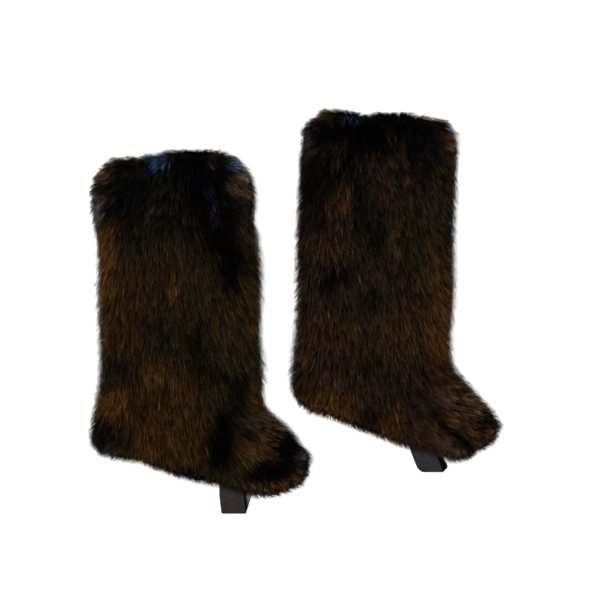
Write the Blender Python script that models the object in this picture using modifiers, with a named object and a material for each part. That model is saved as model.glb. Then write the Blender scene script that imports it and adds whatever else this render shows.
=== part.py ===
"""A pair of long pile faux fur leg warmers, laid flat side by side with their toes to the right.

Each leg is a tube of two fur panels that lie on each other, joined along the shin and the calf.
A casing turned down at the mouth holds a hidden elastic that draws the edge into gathers.
The hem runs from the heel to the toe, and a loop of elastic, the stirrup, hangs from it.
A panel is a thick wall, because it holds the cloth and the depth of its fur.

Lengths are in millimetres here, and MM turns them into metres as each mesh is made.
+X runs from heel to toe, +Y from hem to mouth, +Z up. The pair rests on z = 0.
"""

from collections import namedtuple

import bmesh
import bpy
import numpy as np

MM = 0.001
OBJECT_NAME = "faux_fur_leg_warmers"

# The seam between the panels is a level plane, and sewn pieces stay this far apart.
SEAM_HEIGHT = 14.0
SEAM_GAP = 0.3
UPPER_DEPTH = 21.0
UPPER_ROUNDING = 27.0
UNDER_ROUNDING = 17.0
EDGE_WALL = 3.5

# How finely the two kinds of panel are divided, and how far their cells crowd to the edges.
UPPER_ROWS, UPPER_COLUMNS = 42, 54
UNDER_ROWS, UNDER_COLUMNS = 30, 34
CROWDING = 0.75

# The open mouth stands apart by less than a finger's width, as a shallow lens between the panels.
MOUTH_LENS_WIDTH = 128.0
MOUTH_LENS_DEPTH = 84.0
MOUTH_LENS_HEIGHT = 3.2
MOUTH_LENS_SIDES = 28
MOUTH_LENS_RINGS = 8

# The stirrup is a knitted elastic whose ends are sewn inside the hem. A point of its path that
# lies less than HEM_REACH out from the hem is in the room cut for it there.
STIRRUP_WIDTH = 28.0
STIRRUP_THICK = 1.2
STIRRUP_TUCK = 20.0
HEM_REACH = 1.0
STIRRUP_SECTIONS = 44
STIRRUP_STRIPS = 4

# The fur's surface swells and sinks a little: waves over the leg, with their lengths and height.
Wave = namedtuple("Wave", "along across height phase")
SWELLS = (
    Wave(along=148, across=94, height=0.8, phase=0.4),
    Wave(along=76, across=-133, height=0.6, phase=2.1),
    Wave(along=-97, across=58, height=0.5, phase=4.4),
)

# A row crosses a leg from its calf or hem side to its shin or instep side. x is measured from the
# middle of the shaft and y up from the lowest point of the hem. Bow lifts the middle of the row.
Row = namedtuple("Row", "name back_x back_y front_x front_y bow")
LEFT_ROWS = (
    Row("mouth", -82, 384, 65, 389, 11),
    Row("mouth roll", -93, 374, 76, 378, 7),
    Row("shoulder", -101, 359, 83, 362, 3),
    Row("collar", -103, 340, 87, 342, 1),
    Row("casing line", -101, 321, 85, 323, 0),
    Row("below casing", -97, 299, 89, 300, 0),
    Row("upper calf", -95, 269, 93, 269, 0),
    Row("calf", -95, 226, 94, 226, 0),
    Row("lower calf", -93, 182, 92, 182, 0),
    Row("shin", -93, 146, 96, 146, 0),
    Row("above ankle", -97, 114, 96, 119, 0),
    Row("ankle", -103, 84, 99, 104, 0),
    Row("heel", -103, 61, 106, 96, 0),
    Row("heel turn", -88, 46, 116, 87, 0),
    Row("behind arch", -60, 40, 126, 77, 0),
    Row("arch", -25, 30, 135, 65, 0),
    Row("stirrup", 17, 17, 143, 56, 0),
    Row("instep", 57, 8, 148, 47, 0),
    Row("vamp", 91, 0, 149, 38, 0),
    Row("toe", 119, 5, 147, 27, 0),
    Row("toe end", 135, 11, 144, 19, 1),
)
RIGHT_ROWS = (
    Row("mouth", -78, 390, 84, 388, 9),
    Row("mouth roll", -83, 378, 91, 377, 5),
    Row("shoulder", -85, 363, 95, 363, 1),
    Row("collar", -87, 345, 95, 345, 0),
    Row("casing line", -87, 323, 93, 323, 0),
    Row("below casing", -89, 291, 92, 291, 0),
    Row("upper calf", -91, 251, 91, 251, 0),
    Row("calf", -91, 209, 92, 209, 0),
    Row("lower calf", -91, 169, 90, 169, 0),
    Row("shin", -94, 135, 88, 135, 0),
    Row("above ankle", -97, 111, 91, 111, 0),
    Row("ankle", -98, 90, 103, 96, 0),
    Row("heel", -95, 75, 114, 82, 0),
    Row("heel turn", -83, 60, 126, 69, 0),
    Row("behind arch", -62, 53, 134, 59, 0),
    Row("arch", -33, 41, 140, 51, 0),
    Row("stirrup", -3, 30, 144, 43, 0),
    Row("instep", 28, 17, 143, 36, 0),
    Row("vamp", 62, 9, 139, 29, 0),
    Row("toe", 89, 1, 135, 22, 0),
    Row("toe end", 109, 4, 129, 14, 1),
)

# A gather at the mouth: where it is across the shaft, its half width, how far the edge dips
# there, how deep its fold sinks into the fur, and how far it runs down the casing. Where the
# cloth puffs up between two gathers, the dip and the fold are negative.
Gather = namedtuple("Gather", "across half_width dip trough run")
LEFT_GATHERS = (
    Gather(-64, 6.0, 2.6, 2.0, 24),
    Gather(-47, 6.0, 3.6, 1.8, 30),
    Gather(-27, 8.0, 3.6, 2.6, 34),
    Gather(-5, 6.0, 0.8, 1.6, 26),
    Gather(19, 8.0, 2.2, 2.8, 36),
    Gather(41, 6.0, 0.8, 1.6, 24),
    Gather(57, 5.0, 1.2, 1.8, 26),
)
RIGHT_GATHERS = (
    Gather(-73, 5.0, 1.2, 1.6, 25),
    Gather(-60, 8.0, -6.4, -1.0, 18),
    Gather(-41, 11.0, -4.2, -0.8, 20),
    Gather(-23, 7.0, -2.4, -0.4, 16),
    Gather(-10, 5.0, 3.8, 3.0, 40),
    Gather(6, 6.0, -3.6, -0.8, 16),
    Gather(14, 4.5, 1.4, 2.4, 30),
    Gather(22, 4.5, -3.0, -0.6, 14),
    Gather(29, 4.5, 1.6, 2.2, 30),
    Gather(37, 5.5, -3.6, -0.8, 16),
    Gather(47, 6.0, 1.8, 1.8, 26),
    Gather(65, 8.0, 1.6, 1.4, 24),
)

# A soft trough in the fur of the upper panel, from one end to the other.
Trough = namedtuple("Trough", "name x0 y0 x1 y1 half_width depth")
LEFT_TROUGHS = (
    Trough("casing crease, calf side", -104, 326, -24, 320, 8, 2.4),
    Trough("casing crease, shin side", -10, 324, 90, 326, 9, 1.2),
    Trough("shadowed parting", 57, 322, 50, 232, 11, 2.2),
    Trough("ankle valley", 52, 108, 46, 22, 10, 3.2),
    Trough("front ankle fold", 97, 110, 54, 98, 8, 2.0),
    Trough("heel hollow", -98, 128, -50, 118, 12, 1.4),
)
RIGHT_TROUGHS = (
    Trough("casing crease, calf side", -90, 338, -20, 332, 8, 1.8),
    Trough("casing crease, shin side", 0, 334, 96, 338, 8, 1.8),
    Trough("dark streak", -5, 308, -9, 230, 8, 1.8),
    Trough("calf hollow", -56, 214, -32, 196, 14, 1.6),
    Trough("ankle valley", 86, 106, 50, 24, 10, 2.4),
    Trough("heel hollow", -97, 112, -54, 92, 12, 1.4),
)

# The stirrup's path, seen from the side: how far out from the hem, how high, and its drift to +X.
# It leaves the upper panel, folds over near the surface, and goes back into the under panel.
PathPoint = namedtuple("PathPoint", "name out height drift")
LEFT_STIRRUP_PATH = (
    PathPoint("sewn end, upper", -20.0, 14.75, 0.0),
    PathPoint("inside the hem", -1.5, 14.75, 0.0),
    PathPoint("leaves the hem", 0.8, 14.75, 0.0),
    PathPoint("begins to sink", 4.0, 14.0, 0.4),
    PathPoint("sinking", 10.4, 10.9, 0.9),
    PathPoint("above the fold", 16.2, 7.2, 1.5),
    PathPoint("fold, top", 18.8, 5.7, 1.7),
    PathPoint("fold", 21.6, 3.7, 2.2),
    PathPoint("fold, bottom", 19.2, 1.9, 3.0),
    PathPoint("under the fold", 15.2, 3.6, 4.4),
    PathPoint("rising", 9.4, 6.9, 6.2),
    PathPoint("reaches the hem", 4.6, 10.7, 7.6),
    PathPoint("enters the hem", 0.8, 13.25, 8.4),
    PathPoint("inside the hem, under", -1.5, 13.25, 8.4),
    PathPoint("sewn end, under", -20.0, 13.25, 8.4),
)
RIGHT_STIRRUP_PATH = (
    PathPoint("sewn end, upper", -20.0, 14.75, -0.6),
    PathPoint("leans to the toe", -12.0, 14.75, 0.0),
    PathPoint("inside the hem", -1.5, 14.75, 3.5),
    PathPoint("leaves the hem", 0.8, 14.75, 4.4),
    PathPoint("begins to sink", 3.2, 14.2, 5.4),
    PathPoint("sinking", 7.0, 11.9, 7.0),
    PathPoint("above the fold", 10.8, 8.9, 8.6),
    PathPoint("fold, top", 13.0, 7.6, 9.4),
    PathPoint("fold", 15.0, 5.6, 10.0),
    PathPoint("fold, bottom", 13.2, 3.7, 10.8),
    PathPoint("under the fold", 10.2, 5.0, 12.0),
    PathPoint("rising", 6.4, 7.9, 12.6),
    PathPoint("reaches the hem", 3.6, 10.9, 12.4),
    PathPoint("enters the hem", 0.8, 13.25, 11.8),
    PathPoint("inside the hem, under", -1.5, 13.25, 11.4),
    PathPoint("sewn end, under", -20.0, 13.25, 10.0),
)

# Each leg's place on the surface, and where its stirrup leaves the hem, in the leg's own frame.
Leg = namedtuple("Leg", "name place rows gathers troughs stirrup_x stirrup_y stirrup_path")
LEGS = (
    Leg("left", (-131.0, -212.5), LEFT_ROWS, LEFT_GATHERS, LEFT_TROUGHS, 58.5, 2.4, LEFT_STIRRUP_PATH),
    Leg("right", (91.0, -172.5), RIGHT_ROWS, RIGHT_GATHERS, RIGHT_TROUGHS, 54.0, 3.4, RIGHT_STIRRUP_PATH),
)

# Base colour, roughness and metallic value of each sub-part.
FUR_UPPER = ((0.022, 0.014, 0.008), 0.62, 0.0)
FUR_UNDER = ((0.015, 0.010, 0.006), 0.68, 0.0)
ELASTIC = ((0.045, 0.038, 0.044), 0.8, 0.0)


def clear_scene():
    """Start from an empty scene."""
    for old in list(bpy.data.objects):
        bpy.data.objects.remove(old, do_unlink=True)


def new_collection(name):
    """A collection in the scene, for the pieces or for the cutters."""
    made = bpy.data.collections.new(name)
    bpy.context.scene.collection.children.link(made)
    return made


def plain_material(name, finish):
    """A Principled material with the sub-part's colour, roughness and metallic value."""
    colour, roughness, metallic = finish
    material = bpy.data.materials.new(name)
    material.use_nodes = True
    shader = material.node_tree.nodes["Principled BSDF"]
    shader.inputs["Base Color"].default_value = (*colour, 1.0)
    shader.inputs["Roughness"].default_value = roughness
    shader.inputs["Metallic"].default_value = metallic
    return material


def crowded(count):
    """Places from 0 to 1 that lie closer together towards both ends."""
    even = np.linspace(0.0, 1.0, count + 1)
    ends = (1.0 - np.cos(np.pi * even)) / 2.0
    return (1.0 - CROWDING) * even + CROWDING * ends


def curve_through(knots, values, places):
    """A smooth curve through the values at the knots, read at the places."""
    slopes = np.gradient(values, knots, axis=0)
    start = np.clip(np.searchsorted(knots, places, side="right") - 1, 0, len(knots) - 2)
    span = (knots[start + 1] - knots[start])[:, None]
    t = (places - knots[start])[:, None] / span
    stay = (1 + 2 * t) * (1 - t) ** 2 * values[start] + t**2 * (3 - 2 * t) * values[start + 1]
    lean = t * (1 - t) ** 2 * slopes[start] - t**2 * (1 - t) * slopes[start + 1]
    return stay + span * lean


def rounded(distance, radius):
    """Rises from 0 at an edge to 1 at the radius, as a quarter round does."""
    near = np.clip(distance / radius, 0.0, 1.0)
    return np.sqrt(1.0 - (1.0 - near) ** 2)


def plan_of(leg, row_count, column_count):
    """The plan of a leg: an array of rows of (x, y), and each row's way along from the mouth."""
    ends = np.array([(r.back_x, r.back_y, r.front_x, r.front_y, r.bow) for r in leg.rows], float)
    middles = (ends[:, :2] + ends[:, 2:4]) / 2
    steps = np.linalg.norm(np.diff(middles, axis=0), axis=1)
    knots = np.concatenate([[0.0], np.cumsum(steps)])
    along = crowded(row_count) * knots[-1]
    drawn = curve_through(knots, ends, along)
    back, front, bow = drawn[:, None, :2], drawn[:, None, 2:4], drawn[:, None, 4:]
    across = crowded(column_count)[None, :, None]
    run = front - back
    upward = np.concatenate([-run[..., 1:], run[..., :1]], axis=2)
    upward /= np.linalg.norm(upward, axis=2, keepdims=True)
    crown = 1.0 - (2.0 * across - 1.0) ** 4
    # The last rows bow the other way, out over the toe.
    side = np.where(along > knots[-1] / 2, -1.0, 1.0)[:, None, None]
    plan = back + run * across + upward * bow * crown * side
    for gather in leg.gathers:
        near = np.exp(-(((plan[..., 0] - gather.across) / gather.half_width) ** 2))
        fade = np.exp(-((along / gather.run) ** 2))[:, None]
        plan[..., 1] -= gather.dip * near * fade
    return plan, along


def outline_of(plan):
    """The closed outline of a plan, once round."""
    return np.concatenate([plan[0, :-1], plan[:-1, -1], plan[-1, :0:-1], plan[:0:-1, 0]])


def distance_to_line(points, start, end):
    """The distance of each point from a straight stretch."""
    run = end - start
    share = np.clip(((points - start) @ run) / (run @ run), 0.0, 1.0)
    return np.linalg.norm(points - start - share[..., None] * run, axis=-1)


def distance_inside(points, outline):
    """The distance of each point from the outline."""
    stretches = zip(outline, np.roll(outline, -1, axis=0))
    return np.min([distance_to_line(points, a, b) for a, b in stretches], axis=0)


def fur_relief(leg, plan, along):
    """The rises and hollows of the fur on an upper panel."""
    relief = np.zeros(plan.shape[:2])
    for wave in SWELLS:
        turn = 2 * np.pi * (plan[..., 1] / wave.along + plan[..., 0] / wave.across)
        relief += wave.height * np.sin(turn + wave.phase)
    for trough in leg.troughs:
        start, end = np.array([trough.x0, trough.y0]), np.array([trough.x1, trough.y1])
        away = distance_to_line(plan, start.astype(float), end.astype(float))
        relief -= trough.depth * np.exp(-((away / trough.half_width) ** 2))
    for gather in leg.gathers:
        near = np.exp(-(((plan[..., 0] - gather.across) / gather.half_width) ** 2))
        relief -= gather.trough * near * np.exp(-((along / gather.run) ** 2))[:, None]
    return relief


def panel_mesh(name, plan, outer, inner):
    """A closed wall: an outer face over the plan, a level inner face, and the cut edge between."""
    rows, columns = outer.shape
    mesh = bpy.data.meshes.new(name)
    form = bmesh.new()
    grid = [
        [form.verts.new((*(plan[i, j] * MM), outer[i, j] * MM)) for j in range(columns)]
        for i in range(rows)
    ]
    rim = grid[0][:-1] + [row[-1] for row in grid[:-1]] + grid[-1][:0:-1]
    rim += [row[0] for row in grid[:0:-1]]
    foot = [form.verts.new((vert.co.x, vert.co.y, inner * MM)) for vert in rim]
    for i in range(rows - 1):
        for j in range(columns - 1):
            form.faces.new((grid[i][j], grid[i][j + 1], grid[i + 1][j + 1], grid[i + 1][j]))
    for k, vert in enumerate(rim):
        after = (k + 1) % len(rim)
        form.faces.new((rim[after], vert, foot[k], foot[after]))
    form.faces.new(foot)
    bmesh.ops.recalc_face_normals(form, faces=form.faces)
    form.to_mesh(mesh)
    form.free()
    return mesh


def cut(piece, cutter):
    """Take the cutter's shape out of a piece."""
    difference = piece.modifiers.new("cut_" + cutter.name, "BOOLEAN")
    difference.operation = "DIFFERENCE"
    difference.solver = "EXACT"
    difference.object = cutter


def hide_cutter(cutter, name, cutters):
    """Keep a helper out of the model, in the cutters' own collection."""
    cutter.name = name
    cutter.hide_render = True
    cutter.display_type = "WIRE"
    for holder in list(cutter.users_collection):
        holder.objects.unlink(cutter)
    cutters.objects.link(cutter)
    return cutter


def mouth_lens(leg, origin, cutters):
    """The shallow lens by which the two panels part at the mouth."""
    first = leg.rows[0]
    middle_x = (first.back_x + first.front_x) / 2 + origin[0]
    middle_y = (first.back_y + first.front_y) / 2 + first.bow + origin[1]
    bpy.ops.mesh.primitive_uv_sphere_add(
        segments=MOUTH_LENS_SIDES,
        ring_count=MOUTH_LENS_RINGS,
        radius=0.5,
        location=(middle_x * MM, middle_y * MM, SEAM_HEIGHT * MM),
    )
    lens = bpy.context.object
    lens.scale = (MOUTH_LENS_WIDTH * MM, MOUTH_LENS_DEPTH * MM, MOUTH_LENS_HEIGHT * MM)
    return hide_cutter(lens, leg.name + "_mouth_lens", cutters)


def stirrup_pocket(leg, origin, upward, cutters):
    """The room inside the hem, in one panel, where an end of the stirrup is sewn."""
    half = len(leg.stirrup_path) // 2
    run = leg.stirrup_path[:half] if upward else leg.stirrup_path[half:]
    drifts = [point.drift for point in run if point.out < HEM_REACH]
    middle_drift = (min(drifts) + max(drifts)) / 2
    sway = max(drifts) - min(drifts)
    deep = SEAM_GAP / 2 + STIRRUP_THICK + SEAM_GAP
    reach_in = STIRRUP_TUCK + SEAM_GAP
    reach_out = STIRRUP_TUCK
    bpy.ops.mesh.primitive_cube_add(size=1.0)
    pocket = bpy.context.object
    pocket.scale = (
        (STIRRUP_WIDTH + sway + 2 * SEAM_GAP) * MM,
        (reach_in + reach_out) * MM,
        2 * deep * MM,
    )
    pocket.location = (
        (leg.stirrup_x + middle_drift + origin[0]) * MM,
        (leg.stirrup_y + (reach_in - reach_out) / 2 + origin[1]) * MM,
        SEAM_HEIGHT * MM,
    )
    side = "upper" if upward else "under"
    return hide_cutter(pocket, f"{leg.name}_{side}_pocket", cutters)


def fur_panel(leg, side, origin, cutters, pieces):
    """One fur panel of a leg, as a closed solid with its mouth and its stirrup pocket cut."""
    upward = side == "upper"
    counts = (UPPER_ROWS, UPPER_COLUMNS) if upward else (UNDER_ROWS, UNDER_COLUMNS)
    plan, along = plan_of(leg, *counts)
    inside = distance_inside(plan, outline_of(plan))
    if upward:
        swell = rounded(inside, UPPER_ROUNDING)
        inner = SEAM_HEIGHT + SEAM_GAP / 2
        outer = inner + EDGE_WALL + (UPPER_DEPTH - EDGE_WALL) * swell
        outer += fur_relief(leg, plan, along) * swell
    else:
        inner = SEAM_HEIGHT - SEAM_GAP / 2
        outer = inner - EDGE_WALL - (inner - EDGE_WALL) * rounded(inside, UNDER_ROUNDING)
    name = f"{leg.name}_{side}_panel"
    piece = bpy.data.objects.new(name, panel_mesh(name, plan + origin, outer, inner))
    pieces.objects.link(piece)
    piece.data.materials.append(plain_material(name + "_fur", FUR_UPPER if upward else FUR_UNDER))
    cut(piece, bpy.data.objects[leg.name + "_mouth_lens"])
    cut(piece, stirrup_pocket(leg, origin, upward, cutters))
    piece.data.shade_smooth()
    return piece


def stirrup(leg, origin, pieces):
    """The elastic loop: a flat ribbon along its path, given its thickness."""
    path = np.array([(p.drift, -p.out, p.height) for p in leg.stirrup_path])
    steps = np.linalg.norm(np.diff(path[:, 1:], axis=0), axis=1)
    knots = np.concatenate([[0.0], np.cumsum(steps)])
    line = curve_through(knots, path, np.linspace(0.0, knots[-1], STIRRUP_SECTIONS))
    line += (leg.stirrup_x + origin[0], leg.stirrup_y + origin[1], 0.0)
    widths = np.linspace(-STIRRUP_WIDTH / 2, STIRRUP_WIDTH / 2, STIRRUP_STRIPS + 1)
    form = bmesh.new()
    grid = [[form.verts.new(((x + w) * MM, y * MM, z * MM)) for w in widths] for x, y, z in line]
    for near, far in zip(grid, grid[1:]):
        for j in range(STIRRUP_STRIPS):
            form.faces.new((near[j], near[j + 1], far[j + 1], far[j]))
    name = leg.name + "_stirrup"
    mesh = bpy.data.meshes.new(name)
    form.to_mesh(mesh)
    form.free()
    ribbon = bpy.data.objects.new(name, mesh)
    pieces.objects.link(ribbon)
    wall = ribbon.modifiers.new("thickness", "SOLIDIFY")
    wall.thickness = STIRRUP_THICK * MM
    wall.offset = 0.0
    wall.use_even_offset = True
    ribbon.data.materials.append(plain_material(name + "_elastic", ELASTIC))
    ribbon.data.shade_smooth()
    return ribbon


def centre_of_pair():
    """The middle of the pair's own box, which becomes the origin."""
    places = []
    for leg in LEGS:
        outline = outline_of(plan_of(leg, UPPER_ROWS, UPPER_COLUMNS)[0])
        places.append(outline + leg.place)
        fold = max(p.out for p in leg.stirrup_path) + STIRRUP_THICK / 2
        places.append(np.array([[leg.stirrup_x, leg.stirrup_y - fold]]) + leg.place)
    everything = np.concatenate(places)
    return (everything.min(axis=0) + everything.max(axis=0)) / 2


def build_pair():
    """Both legs, each from two fur panels and a stirrup."""
    clear_scene()
    pieces = new_collection(OBJECT_NAME)
    cutters = new_collection("cutters")
    cutters.hide_render = True
    middle = centre_of_pair()
    for leg in LEGS:
        origin = np.array(leg.place) - middle
        mouth_lens(leg, origin, cutters)
        for side in ("upper", "under"):
            fur_panel(leg, side, origin, cutters, pieces)
        stirrup(leg, origin, pieces)


build_pair()
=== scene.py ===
import math
from collections import namedtuple
from functools import partial, reduce

import bmesh
import bpy
import numpy as np
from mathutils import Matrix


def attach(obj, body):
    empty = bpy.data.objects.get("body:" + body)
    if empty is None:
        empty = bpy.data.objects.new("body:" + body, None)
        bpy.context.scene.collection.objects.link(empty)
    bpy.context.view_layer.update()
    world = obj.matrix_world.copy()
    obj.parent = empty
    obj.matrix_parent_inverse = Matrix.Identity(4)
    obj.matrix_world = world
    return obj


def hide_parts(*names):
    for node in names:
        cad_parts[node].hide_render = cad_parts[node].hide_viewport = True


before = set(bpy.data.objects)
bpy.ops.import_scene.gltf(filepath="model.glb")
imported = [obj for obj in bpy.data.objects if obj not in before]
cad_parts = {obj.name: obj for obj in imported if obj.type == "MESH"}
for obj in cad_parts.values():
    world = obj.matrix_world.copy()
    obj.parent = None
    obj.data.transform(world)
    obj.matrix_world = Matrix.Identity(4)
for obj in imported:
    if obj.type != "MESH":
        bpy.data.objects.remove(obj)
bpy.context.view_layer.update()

# A pair of long pile faux fur leg warmers, laid flat side by side with their toes to the right.
# Each leg is two fur panels sewn along the shin and the calf, gathered on an elastic at the mouth,
# with an elastic stirrup under the foot. Tables are in millimetres, and MM makes them metres.
MM = 0.001

# The camera looks straight down at the middle of the pair, which is how it was photographed.
# A long lens from three metres keeps the two legs free of perspective. The frame is 684 mm wide
# at the height of the side seams, 15 mm over the surface.
CAMERA_PLACE = (5.13 * MM, 13.68 * MM, 3.0)
FRAME_WIDTH = 0.684
SENSOR = 36.0
SIDE_SEAM_HEIGHT = 15 * MM


def placed(name, data):
    """A new object in the scene, at the origin."""
    made = bpy.data.objects.new(name, data)
    bpy.context.scene.collection.objects.link(made)
    return made


eye = bpy.data.cameras.new("overhead")
eye.sensor_width = SENSOR
eye.lens = SENSOR * (CAMERA_PLACE[2] - SIDE_SEAM_HEIGHT) / FRAME_WIDTH
camera = placed("overhead", eye)
camera.location = CAMERA_PLACE
bpy.context.scene.camera = camera
bpy.context.scene.view_settings.view_transform = "Standard"
bpy.context.scene.view_settings.look = "None"

# The studio is a white card under a soft sky and one large soft lamp at the upper left.
# The card glows a little, so that it stays white round the dark fur and its shadow is faint.
CARD_SIZE = 24.0
CARD_COLOUR = (0.86, 0.86, 0.86)
CARD_GLOW = 0.92
SKY_STRENGTH = 0.20
KEY_PLACE = (-1.5, 1.3, 2.1)
KEY_SIZE = 1.1
KEY_WATTS = 60.0
WHITE = (1, 1, 1, 1)


def finish(name, **sockets):
    """A material on one Principled shader, with the named sockets set."""
    made = bpy.data.materials.new(name)
    made.use_nodes = True
    shader = made.node_tree.nodes["Principled BSDF"]
    for label, value in sockets.items():
        shader.inputs[label.replace("_", " ")].default_value = value
    return made, shader


card_mesh = bpy.data.meshes.new("white_card")
half = CARD_SIZE / 2
card_corners = [(-half, -half, 0), (half, -half, 0), (half, half, 0), (-half, half, 0)]
card_mesh.from_pydata(card_corners, [], [(0, 1, 2, 3)])
card = placed("white_card", card_mesh)
card_paint, _ = finish(
    "card_paint",
    Base_Color=(*CARD_COLOUR, 1),
    Roughness=0.9,
    Emission_Color=WHITE,
    Emission_Strength=CARD_GLOW,
)
card_mesh.materials.append(card_paint)

sky = bpy.data.worlds.new("soft_sky")
sky.use_nodes = True
sky.node_tree.nodes["Background"].inputs["Color"].default_value = WHITE
sky.node_tree.nodes["Background"].inputs["Strength"].default_value = SKY_STRENGTH
bpy.context.scene.world = sky

key_lamp = bpy.data.lights.new("window_lamp", "AREA")
key_lamp.shape = "DISK"
key_lamp.size = KEY_SIZE
key_lamp.energy = KEY_WATTS
key = placed("window_lamp", key_lamp)
key.location = KEY_PLACE
aim = -key.location.normalized()
key.rotation_euler = aim.to_track_quat("-Z", "Y").to_euler()

# The panels' cloth is the knitted backing that carries the pile, a thin shell on the form of its
# solid, drawn in by the depth of the fur. The upper panel's edge turns down to the side seams, and
# the under panel lies flat on the surface. The two are sewn together along the shin and the calf.
LEGS = ("left", "right")
# Where each leg's own frame stands: the middle of the shaft, and the lowest point of the hem.
LEG_ORIGIN = {"left": (-131.43, -211.20), "right": (90.57, -171.20)}
CLOTH_WALL = 1.5
INSET_AT_RIM = 9.0
INSET_AT_MOUTH = 4.0
INSET_FADES = 45.0
# Places where the edge falls inside the solid's, or a little past it: how far it is drawn in.
Tuck = namedtuple("Tuck", "name x y reach depth")
TUCKS = {
    "left": (
        ("calf side of the mouth", -46, 390, 22, 4.0),
        ("shin side of the mouth", 58, 389, 14, 1.0),
        ("calf corner of the mouth", -94, 372, 14, -1.5),
        ("calf side of the collar", -100, 324, 30, -1.9),
        ("shin corner of the collar", 82, 366, 10, -1.3),
        ("shin side of the collar", 84, 338, 26, -1.2),
        ("calf side of the shaft", -97, 216, 50, -0.6),
        ("shin side of the shaft", 93, 200, 50, -0.7),
        ("full heel", -104, 66, 16, -1.7),
        ("hem under the heel", -82, 48, 10, -1.0),
        ("hem by the heel", -48, 37, 14, 1.4),
        ("hem in the middle", -10, 26, 22, -1.2),
        ("sole of the toe", 104, 2, 30, -1.2),
        ("tip of the toe", 146, 52, 7, -1.5),
        ("under the tip of the toe", 143, 18, 8, 1.4),
    ),
    "right": (
        ("calf corner of the mouth", -79, 386, 10, -2.6),
        ("dip beside the gather", -66, 397, 6, 3.0),
        ("gather", -50, 401, 14, -1.6),
        ("shin corner of the mouth", 82, 384, 10, -1.5),
        ("calf side of the collar", -87, 333, 26, -1.2),
        ("shin side of the collar", 93, 322, 26, -1.4),
        ("instep", 102, 96, 26, 1.2),
        ("hem under the heel", -71, 55, 9, -2.0),
        ("pad of the foot", 91, 3, 14, -2.0),
        ("notch between toe and pad", 118, 9, 12, 3.0),
        ("tip of the toe", 138, 26, 7, -1.2),
    ),
}
# How far the cloth moves up from its solid's face: at the rim, and further in.
CLOTH_RISE = {"upper": (-2.6, -9.5), "under": (2.9, 3.2)}
CLOTH_RISE_REACHED = 20.0
# The mouth's lip: how far up the leg it starts, and how squarely its edge faces up the leg.
LIP_HEIGHT = (300, 340)
LIP_FACING = (0.55, 0.9)
# A solid's corners this near are one, and its fur side is the faces that look that way this much.
MERGED_WITHIN = 0.01
LEAST_FACING = 0.05
# The way out of a panel is mixed from the rim's stretches that are about as near as the nearest.
RIM_BLUR = 4.5
POINTS_AT_ONCE = 4000
HARDLY_ANY = 1e-9
CLOTH_COLOUR = (0.006, 0.0042, 0.003)
MOTTLE_SCALE = 60.0
MOTTLE_SHADES = (0.6, 1.5)
KNIT_SCALE = 420.0
KNIT_DEPTH = 0.3

Ground = namedtuple("Ground", "form inside outward drawn_in lip")


def seen_faces(node, upward):
    """The faces of a panel's solid on its fur side, merged into one sheet."""
    form = bmesh.new()
    form.from_mesh(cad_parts[node].data)
    bmesh.ops.remove_doubles(form, verts=form.verts, dist=MERGED_WITHIN * MM)
    away = 1 if upward else -1
    hidden = [face for face in form.faces if face.normal.z * away <= LEAST_FACING]
    bmesh.ops.delete(form, geom=hidden, context="FACES")
    return form


def rim_of(form):
    """The rim's stretches seen from above: their ends, and which way is outward."""
    starts, ends, outward = [], [], []
    for edge in form.edges:
        if not edge.is_boundary:
            continue
        a, b = np.array(edge.verts[0].co[:2]), np.array(edge.verts[1].co[:2])
        away = np.array([b[1] - a[1], a[0] - b[0]])
        away /= np.linalg.norm(away)
        centre = np.array(edge.link_faces[0].calc_center_median()[:2])
        outward.append(away if away @ ((a + b) / 2 - centre) > 0 else -away)
        starts.append(a)
        ends.append(b)
    return np.array(starts), np.array(ends), np.array(outward)


def unit(vectors, least=0.0):
    """Each row made one long."""
    return vectors / (np.linalg.norm(vectors, axis=1, keepdims=True) + least)


def measured_from_rim(points, rim):
    """How far each point is inside the rim, and the way out of the panel from there."""
    inside, outward = np.empty(len(points)), np.empty((len(points), 2))
    starts, ends, ways = rim
    run = ends - starts
    squared = (run**2).sum(axis=1)
    for first in range(0, len(points), POINTS_AT_ONCE):
        some = points[first : first + POINTS_AT_ONCE, None, :]
        share = np.clip(((some - starts) * run).sum(axis=2) / squared, 0, 1)
        away = np.linalg.norm(some - starts - share[..., None] * run, axis=2)
        nearest = away.min(axis=1)
        weight = np.exp(-((away - nearest[:, None]) / (RIM_BLUR * MM))) * np.sqrt(squared)
        inside[first : first + POINTS_AT_ONCE] = nearest
        outward[first : first + POINTS_AT_ONCE] = unit(weight @ ways, HARDLY_ANY)
    return inside, outward


def soft_step(value, low, high):
    """Rises smoothly from 0 at low to 1 at high, or falls where high is the lower."""
    share = np.clip((value - low) / (high - low), 0, 1)
    return share * share * (3 - 2 * share)


def blend(none, full, share):
    """The first value where the share is 0, the second where it is 1."""
    return none + (full - none) * share


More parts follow.
